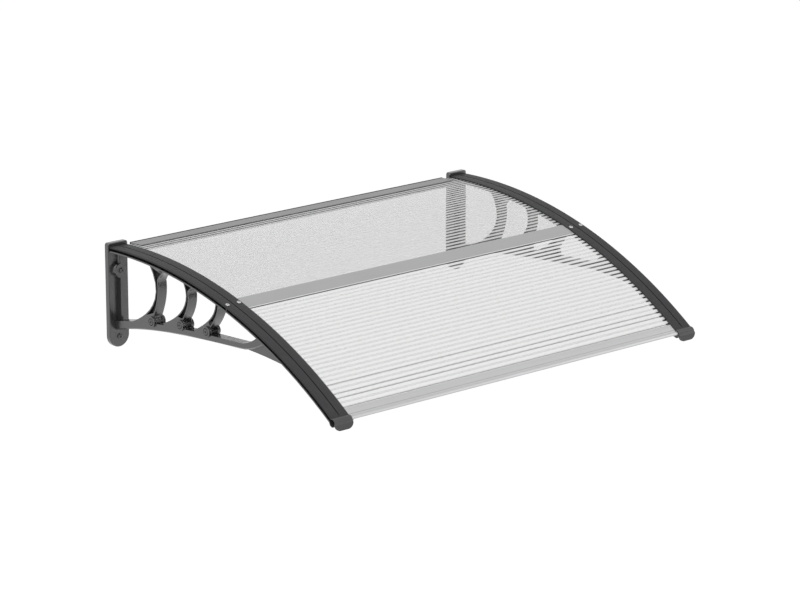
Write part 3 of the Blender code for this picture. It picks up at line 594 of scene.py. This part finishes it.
def rear_bar():
    """Rear bar: a channel open to the front, its underside longer than its top."""
    back = along_at(-REAR_BAR_BACK)
    wall = back + REAR_BAR_WALL
    top_end = back + REAR_BAR_TOP
    low_end = back + REAR_BAR_UNDER
    profile = [(back, TOP_OUT), (back + 17 * MM, TOP_OUT), (top_end - 0.4 * MM, TOP_OUT),
               (top_end, TOP_OUT + 0.4 * MM), (top_end, TOP_IN), (wall, TOP_IN),
               (wall, LOW_IN), (top_end, LOW_IN), (low_end, LOW_IN), (low_end, LOW_OUT),
               (top_end, LOW_OUT), (back, LOW_OUT)]
    bar("rear_bar_surface", "rear_bar", profile, REAR_BAR_HALF, LOOK_REAR_BAR_PAINTED_SHADE)


def screw(node, point, direction, size, look=LOOK_SCREW):
    """Screw turned about its axis, with a six sided socket in a low round head.

    Each ring is a radius and a height. In the socket the radius is that of a
    hexagon: the flat's distance divided by the cosine of the angle from it.
    """
    head, height, shank, length = size
    angle = 2 * np.pi * np.arange(SCREW_SIDES) / SCREW_SIDES
    from_flat = np.mod(angle, np.pi / 3) - np.pi / 6
    six = math.cos(math.pi / 6) / np.cos(from_flat)
    socket = head * 0.3
    dome = np.radians(np.linspace(0, 90, 7))
    rings = [(0.02 * socket, height * 0.35, 1), (socket * 0.95, height * 0.35, 1),
             (socket, height * 0.9, 1), (socket * 1.12, height, 0),
             (head * 0.62, height * 0.97, 0)]
    for step in dome[1:]:
        rings.append((head * (0.72 + 0.28 * math.sin(step)),
                      height * (0.2 + 0.74 * math.cos(step)), 0))
    rings += [(head, 0.0, 0), (shank, 0.0, 0), (shank, shank - length, 0),
              (shank * 0.35, -length, 0)]
    rows = np.array(rings)
    shape = np.where(rows[:, 2:3] > 0, six[None, :], 1.0)
    radius = rows[:, 0:1] * shape
    axis = np.array(direction, dtype=float)
    axis /= np.linalg.norm(axis)
    across = np.array([1.0, 0.0, 0.0])
    if abs(axis[2]) < 0.9:
        across = np.cross(axis, [0.0, 0.0, 1.0])
    across /= np.linalg.norm(across)
    over = np.cross(axis, across)
    grid = np.array(point) + rows[:, 1][:, None, None] * axis
    round_it = np.cos(angle)[None, :, None] * across + np.sin(angle)[None, :, None] * over
    grid = grid + radius[..., None] * round_it
    item = surface(node + "_surface", grid, 40.0)
    show(item, node, look)


def all_screws():
    """Wall, strut and cover screws at their solids' places."""
    slope = MIDDLE_AT / ARC_RADIUS
    up = (0, -math.sin(slope), math.cos(slope))
    y, z = on_arc(MIDDLE_AT, -0.3 * MM)
    for label, side in SIDES:
        x = side * ARM_X
        screw("wall_screw_%s_upper" % label, (x, *UPPER_SEAT), (0, -1, 0), WALL_HEAD + (WALL_LONG,))
        screw("wall_screw_%s_lower" % label, (x, *LOWER_SEAT), (0, -1, 0), WALL_HEAD + (WALL_SHORT,))
        for i, place in enumerate(STRUT_SEATS):
            seat = (x + side * STRUT_SIDE, place[0] * MM, place[1] * MM)
            screw("strut_screw_%s_%d" % (label, i + 1), seat, (side, 0, 0), STRUT_SIZE)
        for place, offset in (("outer", COVER_SIDE), ("inner", -COVER_SIDE)):
            seat = (side * (ARM_X + offset * MM), float(y), float(z))
            screw("cover_screw_%s_%s" % (label, place), seat, up, COVER_SIZE,
                  LOOK_STEEL)


for label, side in SIDES:
    smooth_copy("bracket_" + label, LOOK_BRACKET)
    smooth_copy("end_cap_" + label, LOOK_CAP)
    cover_strip(label, side)
front_bar()
middle_bar()
rear_bar()
all_screws()
for node, look in (("rear_sheet", LOOK_REAR_SHEET_PAINTED_SHADE), ("front_sheet", LOOK_FRONT_SHEET),
                   ("wall_seal", LOOK_RUBBER)):
    for place in frame["nodes"][node].material_slots:
        place.material = look


# Studio

FLOOR_HALF = 40.0
FLOOR_Z = -2.1
CANOPY_MIDDLE = (0.0, -0.35, -0.1)
LAMP_SIZE = 2.4
CAMERA_AT = (-4.7962, -5.8146, 1.8836)
CAMERA_DOWN = 15.469            # degrees below the horizon
CAMERA_TURN = -41.309           # degrees about the vertical


def seen_by_eye(tree):
    """1 for camera, gloss and glass rays, 0 for all others."""
    rays = tree.nodes.new("ShaderNodeLightPath")
    seen = maths(tree, "MAXIMUM", rays.outputs["Is Camera Ray"], rays.outputs["Is Glossy Ray"])
    return maths(tree, "MAXIMUM", seen, rays.outputs["Is Transmission Ray"])


def floor():
    """Pale floor far below the canopy, white to the camera where nothing shades it."""
    far = FLOOR_HALF
    corners = [(-far, -far, FLOOR_Z), (far, -far, FLOOR_Z), (far, far, FLOOR_Z),
               (-far, far, FLOOR_Z)]
    mesh = bpy.data.meshes.new("studio_floor")
    mesh.from_pydata(corners, [], [(0, 1, 2, 3)])
    made, tree, shader, place = start_material("pale_floor")
    seen = seen_by_eye(tree)
    mottle = noise(tree, place, 3.0, 3.0)
    dull = blend_colours(tree, mottle, (0.78, 0.78, 0.78, 1), (0.82, 0.82, 0.82, 1))
    base = blend_colours(tree, seen, dull, (1.0, 1.0, 1.0, 1))
    glow = blend_colours(tree, seen, (0, 0, 0, 1), (0.2, 0.2, 0.2, 1))
    tree.links.new(base, shader.inputs["Base Color"])
    tree.links.new(glow, shader.inputs["Emission Color"])
    shader.inputs["Emission Strength"].default_value = 1.0
    shader.inputs["Roughness"].default_value = 0.9
    shader.inputs["Specular IOR Level"].default_value = 0.0
    mesh.materials.append(made)
    item = bpy.data.objects.new("studio_floor", mesh)
    bpy.context.scene.collection.objects.link(item)


def world():
    """Surroundings: full white to camera, gloss and glass rays, a plain level for the rest."""
    made = bpy.data.worlds.new("studio_world")
    made.use_nodes = True
    tree = made.node_tree
    shade = tree.nodes["Background"]
    shade.inputs["Color"].default_value = (1.0, 1.0, 1.0, 1.0)
    seen = seen_by_eye(tree)
    tree.links.new(maths(tree, "MULTIPLY_ADD", seen, 0.2, 0.8), shade.inputs["Strength"])
    bpy.context.scene.world = made


def soft_lamp(name, place, power):
    """Large square lamp that looks at the middle of the canopy."""
    data = bpy.data.lights.new(name, "AREA")
    data.shape = "SQUARE"
    data.size = LAMP_SIZE
    data.energy = power
    lamp = bpy.data.objects.new(name, data)
    bpy.context.scene.collection.objects.link(lamp)
    away = np.array(place) - np.array(CANOPY_MIDDLE)
    away = away / np.linalg.norm(away)
    lamp.location = place
    lamp.rotation_euler = (math.acos(away[2]), 0.0, math.atan2(away[0], -away[1]))


def camera():
    """Camera at the photograph's place: left of the canopy, in front of it and above."""
    data = bpy.data.cameras.new("photo_camera")
    data.sensor_width = 36.0
    data.lens = 161.2
    data.clip_end = 200.0
    item = bpy.data.objects.new("photo_camera", data)
    item.location = CAMERA_AT
    item.rotation_euler = (math.radians(90 - CAMERA_DOWN), 0.0, math.radians(CAMERA_TURN))
    bpy.context.scene.collection.objects.link(item)
    bpy.context.scene.camera = item


floor()
world()
soft_lamp("key_lamp", (-3.0, -3.5, 2.8), 60.0)
soft_lamp("fill_lamp", (3.4, -2.6, 2.0), 20.0)
camera()
bpy.context.scene.view_settings.view_transform = "Standard"
